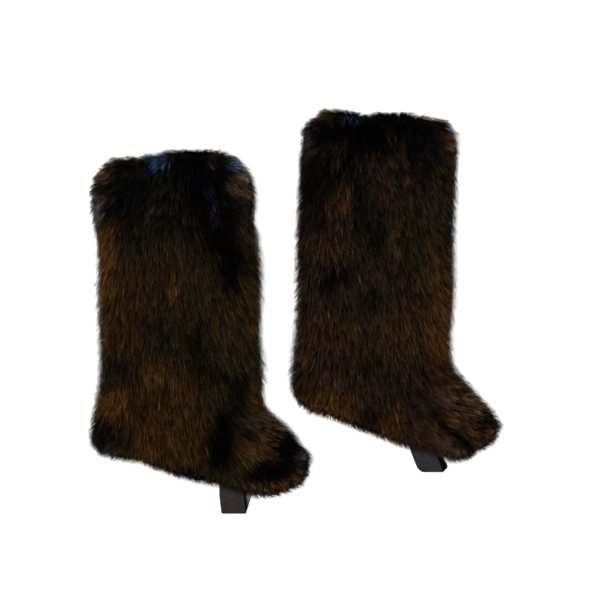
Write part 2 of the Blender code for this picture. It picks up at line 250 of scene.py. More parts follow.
def ground_of(leg, side, cuts):
    """The backing's outer face: the solid's fur side, drawn in by the depth of the fur."""
    form = seen_faces(f"{leg}_{side}_panel", side == "upper")
    rim = rim_of(form)
    for _ in range(cuts):
        bmesh.ops.subdivide_edges(form, edges=form.edges, cuts=1, use_grid_fill=True)
    places = np.array([vert.co for vert in form.verts])
    inside, outward = measured_from_rim(places[:, :2], rim)
    up_leg = places[:, 1] / MM - LEG_ORIGIN[leg][1]
    lip = soft_step(outward[:, 1], *LIP_FACING) * soft_step(up_leg, *LIP_HEIGHT)
    drawn_in = blend(INSET_AT_RIM, INSET_AT_MOUTH, lip)
    drawn_in *= np.clip(1 - inside / (INSET_FADES * MM), 0, 1) ** 2
    tucked = drawn_in.copy()
    for tuck in (Tuck(*row) for row in TUCKS[leg]):
        middle = np.array([tuck.x, tuck.y]) + LEG_ORIGIN[leg]
        far = np.linalg.norm(places[:, :2] / MM - middle, axis=1) / tuck.reach
        tucked += tuck.depth * np.exp(-(far**2))
    places[:, :2] -= outward * tucked[:, None] * MM
    deeper = soft_step(inside, 0, CLOTH_RISE_REACHED * MM)
    places[:, 2] += blend(*CLOTH_RISE[side], deeper) * MM
    for vert, place in zip(form.verts, places):
        vert.co = place
    form.normal_update()
    return Ground(form, inside, outward, drawn_in, lip)


def kept_as_object(form, name):
    """A bmesh made a mesh object in the scene."""
    mesh = bpy.data.meshes.new(name)
    form.to_mesh(mesh)
    form.free()
    return placed(name, mesh)


def wired(tree, kind, inputs=None, **settings):
    """A new node with its settings, its inputs joined or set by name or number."""
    made = tree.nodes.new(kind)
    for key, value in settings.items():
        setattr(made, key, value)
    for key, value in (inputs or {}).items():
        if isinstance(value, bpy.types.NodeSocket):
            tree.links.new(value, made.inputs[key])
        else:
            made.inputs[key].default_value = value
    return made


def ramped(tree, value, *stops):
    """A colour ramp over a value. Each stop is a place on it and a colour."""
    made = wired(tree, "ShaderNodeValToRGB", {0: value})
    elements = made.color_ramp.elements
    for place, _ in stops[1:-1]:
        elements.new(place)
    for element, (place, colour) in zip(elements, stops):
        element.position, element.color = place, (*colour, 1)
    return made.outputs["Color"]


def waves(tree, place, scale, way):
    """Even bands across one way of a surface."""
    inputs = {"Vector": place, "Scale": scale}
    return wired(tree, "ShaderNodeTexWave", inputs, bands_direction=way).outputs["Fac"]


def bumped(tree, shader, height, depth):
    """The shader's surface raised by a height, without moving its mesh."""
    bump = wired(tree, "ShaderNodeBump", {"Height": height, "Distance": depth * MM})
    tree.links.new(bump.outputs["Normal"], shader.inputs["Normal"])


backing, shader = finish("knitted_backing", Roughness=0.85, Specular_IOR_Level=0.1)
tree = backing.node_tree
place = wired(tree, "ShaderNodeTexCoord").outputs["Object"]
mottle = wired(tree, "ShaderNodeTexNoise", {"Vector": place, "Scale": MOTTLE_SCALE})
dark, light = (shade * np.array(CLOTH_COLOUR) for shade in MOTTLE_SHADES)
tone = ramped(tree, mottle.outputs["Fac"], (0, dark), (1, light))
tree.links.new(tone, shader.inputs["Base Color"])
knit = {0: waves(tree, place, KNIT_SCALE, "X"), 1: waves(tree, place, KNIT_SCALE, "Y")}
bumped(tree, shader, wired(tree, "ShaderNodeMath", knit).outputs[0], KNIT_DEPTH)

cloth = {}
for leg in LEGS:
    for side in ("upper", "under"):
        sheet = kept_as_object(ground_of(leg, side, 0).form, f"{leg}_{side}_cloth")
        wall = sheet.modifiers.new("wall", "SOLIDIFY")
        wall.thickness = CLOTH_WALL * MM
        wall.offset = -1
        sheet.data.materials.append(backing)
        sheet.data.shade_smooth()
        cloth[leg, side] = sheet

# The pile is long straight acrylic fibre, knitted into the backing and tipped by hand with dye.
# Where each dye lies, and which way the pile was brushed, differ from leg to leg. The tables of
# dyed places also paint light into the pile: sheen and highlights along the rims, the mouth and the
# toes, golden light along the shin edges, and shadow in a crease, the ankle valley and a notch.
# Each place is in its leg's own frame: x from the middle of the shaft, y up from the lowest point
# of the hem.
# Dyes, and the colours of painted light: blue sheen, pale blue, lilac and cream paint sheen and
# highlights, black also paints shadow, and gold, tan and bright orange also paint light along the
# shin edges.
DYE_AND_PAINTED_LIGHT_COLOURS = {
    "olive": (28, 23, 11),
    "umber": (32, 23, 12),
    "plum brown": (32, 22, 17),
    "russet": (40, 25, 11),
    "orange": (52, 33, 13),
    "bright orange": (66, 42, 16),
    "gold": (50, 36, 17),
    "tan": (62, 46, 32),
    "pink tan": (62, 47, 38),
    "grey olive": (18, 15, 10),
    "smoke": (11, 11, 9),
    "dusk brown": (16, 11, 7),
    "brown": (42, 30, 19),
    "soot": (8, 6, 4),
    "charcoal": (5, 6, 6),
    "black": (1, 1, 2),
    "navy": (5, 5, 8),
    "violet": (21, 16, 17),
    "blue sheen": (32, 50, 72),
    "pale blue": (52, 66, 88),
    "lilac": (62, 58, 66),
    "cream": (88, 76, 68),
}
# The dye all over a leg, which drifts between two shades.
BASE_DYES = {"left": ("olive", "umber"), "right": ("olive", "plum brown")}
# A dyed place, or a place of painted light or shade: its middle, half its size, its turn in
# degrees, its dye or painted colour, and how strong it is.
Patch = namedtuple("Patch", "name x y half_x half_y turn dye strength")
LEFT_DYED_AND_PAINTED_PLACES = (
    ("dark collar", -5, 358, 84, 27, 0, "charcoal", 0.97),
    ("dark collar, calf side", -59, 341, 25, 26, -8, "charcoal", 0.95),
    ("smoke under the collar", 2, 312, 39, 21, -14, "smoke", 0.85),
    ("dark fall under the collar", 25, 293, 21, 31, 0, "smoke", 0.8),
    ("dark shin side", 62, 317, 23, 27, 0, "charcoal", 0.85),
    ("orange lower leg", -19, 85, 49, 54, 0, "russet", 0.62),
    ("orange calf side", -67, 230, 26, 68, 0, "russet", 0.85),
    ("pinkish corner, hair laid to the calf", -91, 370, 8, 12, 0, "pink tan", 0.75),
    ("orange lip of the mouth", -55, 385, 21, 6, 6, "orange", 0.95),
    ("tan lip, calf side", -82, 378, 7, 7, 30, "tan", 0.5),
    # Painted sheen on the lip.
    ("blue sheen on the lip", -26, 378, 11, 9, 0, "blue sheen", 0.96),
    ("black top of the collar", 22, 378, 33, 14, 0, "black", 0.97),
    ("navy fall under the lip", 6, 355, 22, 13, -30, "navy", 0.95),
    # Painted highlights: pale hairs where light glints on the black.
    ("pale hairs in the black", 36, 378, 7, 2, 75, "lilac", 0.3),
    # Painted sheen and highlights at the shin corner.
    ("blue sheen, shin corner", 64, 376, 7, 7, -35, "pale blue", 0.9),
    ("white hairs, shin corner", 75, 363, 7, 7, -25, "cream", 0.65),
    ("tan under the shin corner", 67, 349, 15, 9, -10, "tan", 0.5),
    ("black mass, shin side", 31, 342, 24, 25, 0, "black", 0.95),
    ("black fall, shin side", 44, 307, 19, 24, 0, "black", 0.85),
    ("grey in the collar", -17, 347, 24, 18, -20, "smoke", 0.9),
    # Painted sheen along the calf edge.
    ("white sheen, calf edge", -96, 325, 6, 18, 0, "lilac", 0.95),
    ("navy strip under it", -71, 328, 14, 7, 4, "navy", 0.95),
    # Painted shadow: a black line under the bulge above the crease.
    ("black crease line", -64, 316, 23, 3, -8, "black", 0.9),
    # Painted sheen: a blue white glint.
    ("blue white spot", 34, 348, 8, 6, 60, "blue sheen", 0.09),
    # Painted sheen: a pale streak.
    ("pale streak", 39, 319, 14, 3, 84, "lilac", 0.2),
    ("violet streak", 46, 311, 15, 11, 85, "navy", 0.75),
    ("dark russet shin edge", 80, 279, 54, 11, 90, "umber", 0.6),
    ("black wedge, top", 47, 287, 17, 14, 0, "black", 0.97),
    ("black wedge, middle", 56, 269, 19, 18, 0, "black", 0.98),
    ("black wedge, tail", 58, 245, 10, 17, 0, "black", 0.97),
    ("orange calf edge, high", -83, 274, 10, 32, 0, "bright orange", 0.8),
    ("grey under the crease", -47, 299, 31, 23, -8, "smoke", 0.7),
    ("russet in the shaft", 10, 274, 15, 14, 0, "russet", 0.5),
    ("orange calf edge, middle", -83, 241, 8, 19, 0, "bright orange", 0.7),
    # Painted sheen along the calf edge.
    ("lilac by the orange", -95, 251, 3, 16, 0, "lilac", 0.4),
    ("orange calf edge, low", -85, 184, 8, 22, 0, "orange", 0.8),
    ("bright spot", -7, 229, 10, 5, 85, "bright orange", 0.95),
    ("russet round the spot", -3, 237, 31, 11, -10, "russet", 0.3),
    ("dark olive patch", -28, 196, 15, 9, 20, "grey olive", 0.85),
    ("grey violet patch", 21, 189, 16, 11, 60, "charcoal", 0.5),
    # Gold tone, and painted light along the shin edge where its hair catches the light.
    ("golden shin edge", 82, 210, 32, 10, 90, "gold", 0.7),
    ("dark grey drop", -15, 177, 15, 10, -30, "grey olive", 0.75),
    ("dark streak down the shaft", 19, 157, 18, 10, 80, "charcoal", 0.75),
    ("dark calf patch", -73, 142, 16, 19, -30, "grey olive", 0.9),
    ("gold streaks, shin side", 51, 197, 28, 13, 85, "gold", 0.25),
    ("orange middle", -30, 138, 15, 13, 80, "bright orange", 0.5),
    ("orange column", -5, 106, 40, 18, 85, "orange", 0.45),
    ("orange calf, low", -78, 105, 16, 16, 20, "bright orange", 0.7),
    ("violet dark band", 43, 138, 21, 8, -14, "charcoal", 0.7),
    ("dark above the ankle", 68, 124, 16, 13, -20, "charcoal", 0.9),
    ("orange front ankle", 84, 113, 17, 9, 80, "orange", 0.75),
    ("black heel", -85, 68, 15, 16, 20, "charcoal", 0.8),
    ("black heel, low", -71, 63, 16, 8, -20, "grey olive", 0.6),
    # Painted sheen on the heel's fringe.
    ("pale heel fringe", -76, 48, 13, 6, -15, "lilac", 0.5),
    ("orange by the hem", -36, 65, 19, 14, -60, "orange", 0.85),
    ("orange hem middle", 8, 49, 22, 17, -20, "orange", 0.5),
    ("black hem spot", 9, 28, 18, 6, -12, "black", 0.8),
    ("foot, brown all over", 99, 50, 44, 48, 0, "brown", 0.3),
    # Painted shadow in the ankle valley.
    ("ankle valley, dark", 48, 62, 34, 16, 80, "black", 0.97),
    ("ankle valley, arm", 65, 95, 15, 15, 50, "charcoal", 0.8),
    ("ankle valley, foot", 50, 41, 14, 11, -10, "black", 0.85),
    ("tan foot streaks", 93, 82, 21, 11, -40, "tan", 0.12),
    ("pale foot spot", 95, 89, 6, 5, -38, "pink tan", 0.3),
    ("pale foot spot, lower", 112, 75, 6, 5, -38, "pink tan", 0.35),
    ("orange foot", 85, 49, 19, 13, -20, "orange", 0.65),
    ("orange heart of the foot", 92, 63, 10, 8, -30, "bright orange", 0.3),
    # Painted shadow in the parting at the ankle.
    ("dark parting on the foot", 76, 72, 17, 6, -30, "charcoal", 0.85),
    ("dark parting, low", 79, 36, 15, 5, -12, "grey olive", 0.5),
    ("black toe top", 125, 52, 18, 15, -66, "black", 0.95),
    # Painted sheen: grey white rays at the toe.
    ("grey white rays of the toe", 139, 40, 13, 7, 80, "lilac", 0.55),
    ("grey rays of the toe", 132, 34, 11, 11, -20, "charcoal", 0.8),
    ("black toe heart", 104, 28, 24, 13, 4, "black", 0.97),
    ("tan fringe under the toe", 101, 7, 42, 9, 10, "orange", 0.42),
    ("pale toe end", 139, 22, 7, 8, 40, "tan", 0.6),
    # Painted sheen on the fringe over the stirrup.
    ("grey fringe over the stirrup", 63, 5, 19, 6, -10, "lilac", 0.35),
)
RIGHT_DYED_AND_PAINTED_PLACES = (
    ("dark collar, all round", -2, 374, 85, 26, 0, "charcoal", 0.97),
    ("dusk under the collar", -3, 334, 84, 23, 0, "charcoal", 0.82),
    ("dusk, calf side", -70, 279, 21, 66, 0, "dusk brown", 0.92),
    ("dusk, middle", -8, 274, 21, 44, 0, "grey olive", 0.6),
    ("raised tan gather", -55, 399, 15, 6, -4, "tan", 0.7),
    ("orange edge of the gather", -56, 389, 23, 5, -4, "orange", 0.55),
    ("black band of the mouth", -8, 374, 59, 13, 0, "black", 0.97),
    ("black scallops", 17, 388, 32, 13, 0, "black", 0.9),
    # Painted highlights on the tops of the scallops.
    ("grey tops of the scallops", 3, 398, 9, 3, 0, "grey olive", 0.7),
    # Painted sheen in the gather.
    ("blue sheen in the gather", -24, 396, 11, 11, 0, "blue sheen", 0.99),
    ("dark lip", 59, 390, 15, 6, 5, "grey olive", 0.6),
    # Painted sheen along the calf edge.
    ("grey calf edge", -79, 370, 16, 7, 90, "lilac", 0.25),
    ("violet calf edge", -80, 333, 22, 8, 90, "dusk brown", 0.6),
    ("tan wisps, high", -42, 357, 9, 5, 20, "tan", 0.13),
    ("tan wisps, low", -44, 342, 7, 6, 60, "tan", 0.12),
    ("black middle of the collar", -6, 358, 25, 17, 0, "black", 0.8),
    ("violet under the black", -18, 339, 10, 9, 0, "violet", 0.5),
    ("brown under the collar", 7, 336, 17, 14, 0, "brown", 0.45),
    ("navy streak, shin side", 54, 356, 23, 19, 0, "navy", 0.85),
    ("pinkish streak", 16, 368, 11, 6, -68, "pink tan", 0.18),
    ("olive streak", 31, 350, 14, 5, -80, "gold", 0.3),
    # Gold and tan tone, and painted light along the shin edge where its hair catches the light.
    ("golden shin edge, high", 87, 369, 24, 9, 90, "gold", 0.65),
    ("pinkish shin edge", 90, 334, 14, 5, 90, "tan", 0.6),
    ("dark calf side", -66, 323, 22, 21, 0, "soot", 0.85),
    ("violet calf edge, low", -78, 300, 13, 11, 90, "charcoal", 0.7),
    ("russet patch", -42, 290, 14, 17, 0, "russet", 0.7),
    ("russet patch, heart", -43, 293, 8, 9, 0, "pink tan", 0.12),
    ("orange patch", 13, 310, 19, 7, 85, "orange", 0.3),
    ("orange patch, shin side", 36, 318, 11, 6, 85, "orange", 0.3),
    ("grey streak, first", -18, 285, 26, 8, 84, "charcoal", 0.75),
    ("grey streak, second", 1, 259, 27, 11, 84, "charcoal", 0.75),
    ("gold columns", 23, 251, 22, 8, 85, "gold", 0.4),
    ("olive green patch", 40, 282, 16, 12, 0, "olive", 0.6),
    ("dark streaks, shin side", 57, 288, 30, 13, 80, "charcoal", 0.35),
    ("violet spot", 80, 279, 8, 9, 0, "violet", 0.7),
    ("violet spot, lower", 79, 247, 9, 7, 0, "violet", 0.6),
    # Gold and tan tone, and painted light on the shin side where its hair catches the light.
    ("gold, shin side", 72, 212, 35, 21, 80, "gold", 0.75),
    ("light shin side, high", 66, 283, 31, 15, 85, "tan", 0.1),
    ("tan calf middle", -56, 244, 23, 13, 0, "gold", 0.5),
    ("dark patch", -54, 204, 11, 16, -30, "black", 0.9),
    ("dark patch, second lobe", -34, 211, 8, 11, 0, "black", 0.85),
    ("violet round the dark patch", -76, 204, 11, 18, 0, "violet", 0.4),
    ("dark drop", -5, 187, 15, 8, 80, "charcoal", 0.8),
    ("dark drop, shin side", 36, 193, 10, 6, 80, "charcoal", 0.5),
    ("dark wisps", 0, 178, 28, 8, 0, "grey olive", 0.5),
    # Painted sheen along the calf edge.
    ("lilac calf edge", -89, 131, 16, 5, 90, "lilac", 0.55),
    ("orange band", -42, 147, 39, 14, -4, "orange", 0.45),
    ("gold heart", 31, 145, 30, 25, 85, "gold", 0.45),
    ("dark spot", -11, 105, 12, 10, 40, "grey olive", 0.9),
    ("dark wisps, low", 31, 83, 14, 11, -40, "grey olive", 0.45),
    ("orange heel", -80, 114, 13, 13, 0, "orange", 0.5),
    ("violet heel", -89, 97, 8, 11, 0, "violet", 0.75),
    ("pink heel", -52, 91, 13, 10, -40, "pink tan", 0.35),
    ("orange hem fringe", -46, 68, 33, 15, -18, "orange", 0.75),
    ("bright orange hem", 19, 46, 17, 16, -50, "bright orange", 0.5),
    ("dark hem", -3, 52, 15, 14, 80, "charcoal", 0.65),
    ("olive dark hem", 24, 70, 14, 9, -40, "grey olive", 0.7),
    # Painted sheen on the tips at the hem.
    ("pale tips, hem", -62, 55, 7, 4, -18, "pale blue", 0.6),
    ("pale tips, lower hem", -27, 44, 7, 5, -18, "pale blue", 0.6),
    # Orange tone, and painted light along the shin edge where its hair catches the light.
    ("golden shin edge, low", 76, 141, 44, 14, 85, "bright orange", 0.8),
    ("ankle, dark", 68, 103, 13, 13, -40, "charcoal", 0.4),
    ("foot, brown all over", 92, 49, 50, 48, 0, "brown", 0.75),
    ("pinkish foot streaks", 92, 64, 11, 10, -42, "pink tan", 0.35),
    ("gold instep", 107, 81, 19, 14, -42, "gold", 0.6),
    ("tan instep", 114, 65, 15, 11, -42, "tan", 0.55),
    ("tan above the notch", 75, 79, 10, 11, -40, "tan", 0.45),
    ("dark ankle strands", 53, 74, 22, 14, 80, "grey olive", 0.5),
    # Painted shadow along the notch.
    ("dark notch, heel end", 70, 55, 10, 7, -50, "black", 0.85),
    ("dark notch, middle", 83, 40, 9, 9, -45, "black", 0.9),
    ("dark notch, toe end", 96, 27, 8, 8, -42, "black", 0.9),
    ("orange by the notch", 88, 46, 10, 7, -50, "orange", 0.7),
    ("dark teal on the toe", 126, 44, 9, 7, 20, "charcoal", 0.9),
    # Painted shadow in the notch under the toe.
    ("dark notch, under the toe", 101, 19, 8, 7, -30, "black", 0.95),
    ("brown toe end", 132, 31, 8, 7, 20, "tan", 0.5),
    ("reddish toe", 117, 33, 9, 7, -30, "russet", 0.5),
    ("pinkish under the notch", 85, 19, 14, 9, -30, "pink tan", 0.35),
    # Painted sheen on the toe's fringe.
    ("pale fringe of the toe", 124, 15, 11, 7, 35, "lilac", 0.5),
    ("brown pad under the toe", 96, 7, 15, 8, 5, "tan", 0.45),
)
DYED_AND_PAINTED_PLACES = {"left": LEFT_DYED_AND_PAINTED_PLACES, "right": RIGHT_DYED_AND_PAINTED_PLACES}
BASE_DRIFT = 0.16
SQUARENESS = 2.6
RAGGED_BY = 0.28
DYE_FADES = (0.62, 1.38)
# A stroke of the brush: where, the way the pile points in degrees from +X, and how far it acts.
Stroke = namedtuple("Stroke", "name x y heading reach")
LEFT_BRUSHED = (
    ("calf corner of the mouth", -88, 368, 176, 20),
    ("calf edge of the collar", -96, 340, -168, 22),
    ("collar, calf side", -62, 350, -142, 30),
    ("collar, lower calf side", -66, 326, -116, 26),
    ("collar, middle", -22, 352, -122, 28),
    ("collar, black fall", 18, 350, -84, 26),
    ("collar, shin side", 48, 356, -60, 24),
    ("shin corner of the mouth", 74, 364, -14, 24),
    ("shin edge of the collar", 82, 338, -48, 24),
    ("under the crease, calf", -84, 296, -112, 30),
    ("under the crease, middle", -30, 304, -106, 36),
    ("under the crease, shin", 34, 300, -84, 34),
    ("high shin edge", 86, 290, -70, 26),
    ("upper shaft, calf", -80, 250, -101, 40),
    ("upper shaft, middle", -8, 246, -92, 44),
    ("upper shaft, shin", 74, 240, -77, 34),
    ("middle shaft, calf", -84, 196, -106, 40),
    ("middle shaft, middle", -6, 190, -90, 44),
    ("middle shaft, shin", 76, 188, -74, 36),
    ("lower shaft, calf", -80, 140, -95, 38),
    ("lower shaft, middle", -10, 136, -93, 40),
    ("lower shaft, shin", 66, 146, -84, 34),
    ("front of the ankle", 92, 118, -62, 24),
    ("above the heel", -84, 96, -112, 30),
    ("heel", -88, 66, -126, 24),
    ("sole side of the heel", -54, 62, -100, 28),
    ("hem, middle", -6, 60, -88, 34),
    ("ankle valley", 44, 60, -96, 22),
    ("top of the foot", 82, 84, -34, 26),
    ("middle of the foot", 84, 48, -44, 26),
    ("instep", 112, 62, -42, 22),
    ("sole of the foot", 72, 18, -72, 22),
    ("toe, upper", 134, 50, -24, 20),
    ("toe, end", 138, 24, -28, 18),
    ("toe, under", 112, 12, -62, 20),
)
RIGHT_BRUSHED = (
    ("calf corner of the mouth", -74, 374, 178, 18),
    ("calf edge of the collar", -80, 352, -170, 22),
    ("collar, calf side", -50, 360, -120, 26),
    ("collar, middle", -4, 362, -94, 30),
    ("collar, pinkish streak", 26, 352, -68, 24),
    ("collar, shin side", 66, 362, -62, 26),
    ("shin corner of the mouth", 88, 362, -36, 20),
    ("under the crease, calf", -72, 318, -110, 30),
    ("under the crease, middle", -14, 318, -92, 34),
    ("under the crease, shin", 48, 322, -80, 32),
    ("upper shaft, calf", -76, 266, -102, 36),
    ("upper shaft, middle", -14, 262, -87, 40),
    ("upper shaft, shin", 72, 262, -80, 34),
    ("middle shaft, calf", -78, 206, -98, 38),
    ("middle shaft, middle", -4, 204, -91, 42),
    ("middle shaft, shin", 76, 204, -76, 34),
    ("lower shaft, calf", -78, 148, -104, 36),
    ("lower shaft, middle", -2, 148, -90, 40),
    ("lower shaft, shin", 70, 150, -80, 32),
    ("front of the ankle", 90, 108, -58, 24),
    ("above the heel", -80, 108, -112, 28),
    ("heel", -82, 80, -124, 24),
    ("sole side of the heel", -48, 72, -104, 28),
    ("hem, middle", 4, 66, -88, 30),
    ("ankle valley", 56, 70, -66, 22),
    ("top of the foot", 92, 76, -36, 26),
    ("middle of the foot", 86, 44, -40, 24),
    ("instep", 122, 54, -38, 22),
    ("toe, end", 132, 24, -30, 18),
    ("toe, under", 102, 12, -60, 20),
)
BRUSHED = {"left": LEFT_BRUSHED, "right": RIGHT_BRUSHED}
# Where no stroke reaches, the pile falls straight down the leg.
UNBRUSHED = (0.0, -0.004)
# The pile's length and its loft over the backing, and how far in from the edge each one fades.
PILE_ON_SHAFT = 20.0
PILE_ON_COLLAR = 18.0
PILE_ON_FOOT = 16.0
PILE_ON_LIP = 11.0
PILE_AT_EDGE = 15.0
PILE_FADES = 10.0
LIP_FADES = 12.0
SHORT_OF_EDGE = 6.3
SHORTEST_PILE = 8.0
LOFT = {"upper": 9.0, "under": 2.7}
LOFT_FADES = {"upper": 12.0, "under": 5.0}
EDGE_LOFT = 14.0
HEM_LOFT = 9.7
MOUTH_LOFT = 8.5
DROOP = 0.10
EDGE_DROOP = 0.20
DROOP_FADES = 14.0
# Where the collar starts, and where the foot starts across the leg and ends up it.
COLLAR_FROM = (300, 330)
FOOT_FROM = (50, 95)
FOOT_TOP = (110, 80)
# Near an edge the pile is pushed outward, more on the shin's side, and rolls out over the sides.
CALF_PUSH = 0.12
SHIN_PUSH = 0.38
SHIN_FROM = (-20, 40)
PUSH_FADES = 13.0
ROLL = 1.5
ROLL_FADES = 9.0
ROLLS_WHERE = (0.35, 0.8)
LEAST_OUTWARD = 0.12
EVEN_FADES = 12.0
CROWDED = (0.6, 1.0)
BACK_DYE_FROM = (10, 40)
DYE_STRENGTH = 2.8
MARL = {"left": 0.15, "right": 0.45}
FOOT_THICKER = 0.3
EVEN_THICKER = 0.6
FOOT_COARSER = 0.2
# How much of the marl the collar gets, and how much less the dye strays on the foot and collar.
COLLAR_MARL = 0.6
DYE_STRAY = 0.8
FOOT_STEADY = 0.6
COLLAR_STEADY = 0.4


def linear(colour):
    """A dye as seen, made a linear reflectance."""
    seen = np.array(colour) / 255
    return np.where(seen <= 0.04045, seen / 12.92, ((seen + 0.055) / 1.055) ** 2.4)


def ragged(x, y):
    """A slow uneven wave between -1 and 1, which frays the edge of a dyed place."""
    made = np.sin(x / 4.1 + 1.7 * np.sin(y / 9.7)) + np.sin(y / 6.3 + 1.9 * np.sin(x / 7.9) + 2)
    return (made + np.sin((x + y) / 3.1 + 4) + np.sin((x - 1.6 * y) / 12.7)) / 4


def dyed_and_painted_tint(x, y, leg):
    """The dye of the pile that grows at each place of a leg, with its table's painted sheen,
    highlights and shadow.
    """
    warm = (0.5 + 0.5 * ragged(x / 2.2 + 17, y / 3.1 + 5))[:, None]
    cool_dye, warm_dye = (linear(DYE_AND_PAINTED_LIGHT_COLOURS[dye]) for dye in BASE_DYES[leg])
    tint = (1 - warm) * cool_dye + warm * warm_dye
    tint *= (1 + BASE_DRIFT * ragged(x / 3.3 + 40, y / 5.1))[:, None]
    for patch in (Patch(*row) for row in DYED_AND_PAINTED_PLACES[leg]):
        turn = math.radians(patch.turn)
        dx, dy = x - patch.x, y - patch.y
        along = (dx * math.cos(turn) + dy * math.sin(turn)) / patch.half_x
        across = (dy * math.cos(turn) - dx * math.sin(turn)) / patch.half_y
        # A place with square corners is nearer to what the dyer's hand leaves than an ellipse.
        far = (np.abs(along) ** SQUARENESS + np.abs(across) ** SQUARENESS) ** (1 / SQUARENESS)
        far += RAGGED_BY * ragged(x + 13 * patch.strength, y)
        share = patch.strength * (1 - soft_step(far, *DYE_FADES))
        tint = blend(tint, linear(DYE_AND_PAINTED_LIGHT_COLOURS[patch.dye]), share[:, None])
    return tint


def brushed(x, y, leg):
    """The way the pile points at each place of a leg, seen from above."""
    way = np.tile(UNBRUSHED, (len(x), 1))
    for stroke in (Stroke(*row) for row in BRUSHED[leg]):
        near = np.exp(-((x - stroke.x) ** 2 + (y - stroke.y) ** 2) / stroke.reach**2)
        heading = math.radians(stroke.heading)
        way += near[:, None] * [math.cos(heading), math.sin(heading)]
    return unit(way)


def growing_ground(leg, side):
    """The backing as a finely divided sheet that knows its pile's dye, lie, length and loft."""
    upward = side == "upper"
    ground = ground_of(leg, side, 2 if upward else 1)
    form, lip, inside = ground.form, ground.lip, ground.inside / MM
    places = np.array([vert.co for vert in form.verts]) / MM
    stand = np.array([vert.normal for vert in form.verts])
    x, y = places[:, 0] - LEG_ORIGIN[leg][0], places[:, 1] - LEG_ORIGIN[leg][1]
    way = brushed(x, y, leg)
    push = blend(CALF_PUSH, SHIN_PUSH, soft_step(x, *SHIN_FROM))
    push *= np.exp(-inside / PUSH_FADES) * (1 - lip)
    way = unit(way + ground.outward * push[:, None])
    # Along a side or the mouth the pile rolls out over the edge and falls along it.
    beside = 1 - soft_step((way * ground.outward).sum(axis=1), *ROLLS_WHERE)
    roll = ROLL * np.exp(-inside / ROLL_FADES) * beside
    stand[:, :2] += ground.outward * roll[:, None]
    stand = unit(stand)
    comb = np.column_stack([way, np.zeros(len(way))])
    comb -= (comb * stand).sum(axis=1)[:, None] * stand
    comb = unit(comb, HARDLY_ANY)
    collar, foot = soft_step(y, *COLLAR_FROM), soft_step(x, *FOOT_FROM) * soft_step(y, *FOOT_TOP)
    pile = blend(PILE_ON_SHAFT, PILE_ON_COLLAR, collar) + (PILE_ON_FOOT - PILE_ON_SHAFT) * foot
    pile = blend(pile, PILE_AT_EDGE, np.exp(-inside / PILE_FADES))
    pile += (PILE_ON_LIP - pile) * lip * np.exp(-inside / LIP_FADES)
    # The tips stop short of the edge, and where that crowds them they are cut even.
    outward_share = np.clip((comb[:, :2] * ground.outward).sum(axis=1), LEAST_OUTWARD, 1)
    room = (inside + ground.drawn_in - SHORT_OF_EDGE) / outward_share
    crowded = soft_step(pile / np.maximum(room, 1), *CROWDED)
    even = np.maximum(np.exp(-inside / EVEN_FADES), crowded)
    pile = np.maximum(np.minimum(pile, room), SHORTEST_PILE)
    at_edge = blend(blend(HEM_LOFT, EDGE_LOFT, beside), MOUTH_LOFT, lip)
    loft = blend(LOFT[side], at_edge, np.exp(-inside / LOFT_FADES[side]))
    droop = DROOP + EDGE_DROOP * np.exp(-inside / DROOP_FADES) if upward else 0 * inside
    tint = dyed_and_painted_tint(x, y, leg)
    if not upward:
        # The back is dyed in another order, and meets the front's dye at the side seams.
        back = dyed_and_painted_tint(-x, y, "right" if leg == "left" else "left")
        tint = blend(tint, back, soft_step(inside, *BACK_DYE_FROM)[:, None])
    steady = np.maximum(FOOT_STEADY * foot, COLLAR_STEADY * collar)
    sheet = kept_as_object(form, f"{leg}_{side}_ground")
    for label, values in (
        ("comb", comb),
        ("stand", stand),
        ("tint", tint * DYE_STRENGTH),
        ("pile", pile * MM),
        ("loft", loft * MM),
        ("droop", droop),
        ("even", even),
        ("thick", 1 + FOOT_THICKER * foot + EVEN_THICKER * even),
        ("coarse", 1 + FOOT_COARSER * foot),
        ("stray", (DYE_STRAY + MARL[leg]) * (1 - steady)),
        ("marl", blend(MARL[leg], 1, np.maximum(foot, COLLAR_MARL * collar))),
    ):
        kind, field = ("FLOAT_VECTOR", "vector") if values.ndim == 2 else ("FLOAT", "value")
        held = sheet.data.attributes.new(label, kind, "POINT")
        held.data.foreach_set(field, values.ravel())
    return sheet


def hair(name, rows):
    """One fibre as a flat blade with a point: it knows how far up and across each corner is."""
    form = bmesh.new()
    up, across = form.verts.layers.float.new("up_hair"), form.verts.layers.float.new("across_hair")
    pairs = []
    for height, width in rows:
        pair = [form.verts.new((side * width, height, 0)) for side in (-0.5, 0.5)]
        for vert in pair:
            vert[up], vert[across] = height, vert.co.x
        pairs.append(pair)
    point = form.verts.new((0, 1, 0))
    point[up] = 1.0
    for low, high in zip(pairs, pairs[1:]):
        form.faces.new((low[0], low[1], high[1], high[0]))
    form.faces.new((*pairs[-1], point))
    bmesh.ops.triangulate(form, faces=form.faces)
    return kept_as_object(form, name)


# The shortest and longest of hairs, locks and wisps, as shares of the pile where they grow.
HAIR_LENGTHS = (0.84, 1.08)
LOCK_LENGTHS = (0.88, 1.10)
WISP_LENGTHS = (0.80, 1.14)
# How low and high a hair lies in its loft, by its wisp's luck and a little by its own.
STACKED = (0.4, 1.05)
STACK_LAYERS = 7.3
STACK_OWN = 0.2
# Near an edge the lengths close up to one, and the wisps and locks lose this much of their pull.
EVEN_LENGTH = 0.93
EVEN_HOLD = 0.95
# A hair takes its tint from this share of its pile ahead, and this share of its stray askew.
TINT_REACH = 0.62
TINT_ASKEW = 0.4
# How far a blade turns about its own run, in radians.
BLADE_TURN = 0.9
